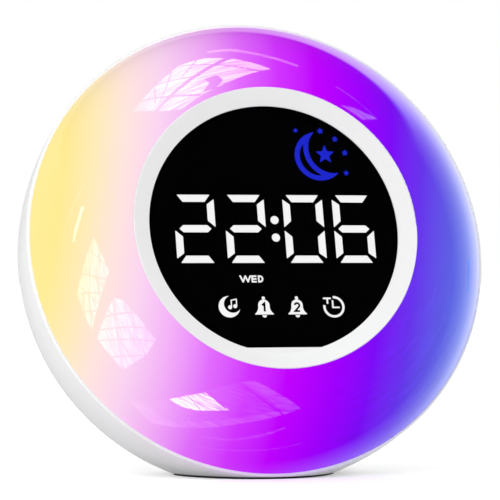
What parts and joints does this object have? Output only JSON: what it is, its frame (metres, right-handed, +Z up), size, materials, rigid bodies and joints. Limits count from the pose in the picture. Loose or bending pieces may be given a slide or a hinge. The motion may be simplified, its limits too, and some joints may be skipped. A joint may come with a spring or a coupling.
{
  "type": "sunrise alarm clock",
  "caption": "Round sunrise alarm clock: lit shade around a black digital display, domed white shell with rear keys, snooze bar, speaker and power socket, leaning back on a flat rubber pad.",
  "frame": {"origin": "on the surface the clock stands on, right below the centre of the seam between shade and shell", "axes": "+X to the right seen from the front, the face looks along -Y and leans back, +Z up"},
  "size_m": [0.17, 0.1136, 0.1639],
  "materials": {
    "white_plastic": "smooth satin white ABS",
    "key_plastic": "satin white ABS with sunk signs",
    "lit_shade": "glossy opal polycarbonate lit from inside, yellow through pink and magenta to violet and blue from left to right",
    "bezel_plastic": "fine matt white ABS",
    "smoked_window": "clear polished smoked acrylic",
    "lit_white": "milky light guide, lit white",
    "lit_blue": "milky light guide, lit blue",
    "unlit_guide": "smoked light guide, dark when off",
    "black_film": "printed black film",
    "black_plastic": "moulded black plastic",
    "circuit_board": "green solder mask on glass epoxy",
    "board_aluminium": "white coated aluminium board",
    "led_package": "moulded LED package",
    "reflector_plastic": "matt white reflector plastic",
    "zinc_screw": "zinc plated steel",
    "black_foam": "closed-cell foam",
    "basket_steel": "pressed steel",
    "magnet_steel": "ferrite and plated steel",
    "paper_cone": "coated paper cone",
    "surround_rubber": "soft rubber roll",
    "plated_pin": "nickel plated",
    "capacitor_can": "sleeved aluminium can",
    "connector_plastic": "natural nylon",
    "cell_steel": "plated steel can",
    "pad_rubber": "soft black rubber",
    "ribbon_white": "flat flexible cable",
    "lead_red": "insulated wire",
    "lead_black": "insulated wire",
    "lead_grey": "insulated wire"
  },
  "bodies": {
    "clock": {"backup_cell": "cell_steel", "base_pad": "pad_rubber", "bezel_ring": "bezel_plastic", "board_capacitors": "capacitor_can", "board_connectors": "connector_plastic", "cell_contact": "plated_pin", "cell_cover": "white_plastic", "cell_screw": "zinc_screw", "colon_dots": "lit_white", "controller_chips": "black_plastic", "display_board": "circuit_board", "display_film": "black_film", "display_frame": "black_plastic", "display_leds": "led_package", "display_ribbon": "ribbon_white", "display_screws": "zinc_screw", "display_window": "smoked_window", "housing_screws": "zinc_screw", "key_board": "circuit_board", "key_board_screws": "zinc_screw", "key_leads": "lead_grey", "light_board": "board_aluminium", "light_board_screws": "zinc_screw", "light_leads": "lead_red", "light_leds": "led_package", "light_pan": "reflector_plastic", "light_shade": "lit_shade", "main_board": "circuit_board", "main_board_screws": "zinc_screw", "night_icon": "lit_blue", "power_pin": "plated_pin", "power_socket": "black_plastic", "rear_housing": "white_plastic", "segments_dark": "unlit_guide", "segments_lit": "lit_white", "snooze_board": "circuit_board", "snooze_board_screws": "zinc_screw", "snooze_leads": "lead_grey", "snooze_switch": "black_plastic", "speaker_basket": "basket_steel", "speaker_gasket": "black_foam", "speaker_leads": "lead_black", "speaker_magnet": "magnet_steel", "speaker_screws": "zinc_screw", "speaker_surround": "surround_rubber", "status_icons": "lit_white", "tact_switches": "black_plastic", "weekday_letters": "lit_white"},
    "key_alarm_one": {"key_alarm_one": "key_plastic"},
    "key_alarm_two": {"key_alarm_two": "key_plastic"},
    "key_clock_set": {"key_clock_set": "key_plastic"},
    "key_minus": {"key_minus": "key_plastic"},
    "key_plus": {"key_plus": "key_plastic"},
    "key_light": {"key_light": "key_plastic"},
    "key_sound": {"key_sound": "key_plastic"},
    "key_radio": {"key_radio": "key_plastic"},
    "snooze_bar": {"snooze_bar": "white_plastic"},
    "speaker_cone": {"speaker_cone": "paper_cone"}
  },
  "joints": [
    {"name": "alarm_one_press", "type": "slide", "parent": "clock", "child": "key_alarm_one", "axis": [0, -0.9596, 0.2815], "range_m": [0, 0.0008], "stiffness_N_per_m": 1500},
    {"name": "alarm_two_press", "type": "slide", "parent": "clock", "child": "key_alarm_two", "axis": [0, -0.9596, 0.2815], "range_m": [0, 0.0008], "stiffness_N_per_m": 1500},
    {"name": "clock_set_press", "type": "slide", "parent": "clock", "child": "key_clock_set", "axis": [0, -0.9596, 0.2815], "range_m": [0, 0.0008], "stiffness_N_per_m": 1500},
    {"name": "minus_press", "type": "slide", "parent": "clock", "child": "key_minus", "axis": [0, -0.9596, 0.2815], "range_m": [0, 0.0008], "stiffness_N_per_m": 1500},
    {"name": "plus_press", "type": "slide", "parent": "clock", "child": "key_plus", "axis": [0, -0.9596, 0.2815], "range_m": [0, 0.0008], "stiffness_N_per_m": 1500},
    {"name": "light_press", "type": "slide", "parent": "clock", "child": "key_light", "axis": [0, -0.9596, 0.2815], "range_m": [0, 0.0008], "stiffness_N_per_m": 1500},
    {"name": "sound_press", "type": "slide", "parent": "clock", "child": "key_sound", "axis": [0, -0.9596, 0.2815], "range_m": [0, 0.0008], "stiffness_N_per_m": 1500},
    {"name": "radio_press", "type": "slide", "parent": "clock", "child": "key_radio", "axis": [0, -0.9596, 0.2815], "range_m": [0, 0.0008], "stiffness_N_per_m": 1500},
    {"name": "snooze_press", "type": "slide", "parent": "clock", "child": "snooze_bar", "axis": [0, -0.2815, -0.9596], "range_m": [0, 0.0008], "stiffness_N_per_m": 2500},
    {"name": "cone_stroke", "type": "slide", "parent": "clock", "child": "speaker_cone", "axis": [0, -0.9596, 0.2815], "range_m": [-0.0008, 0.0008], "stiffness_N_per_m": 900}
  ]
}
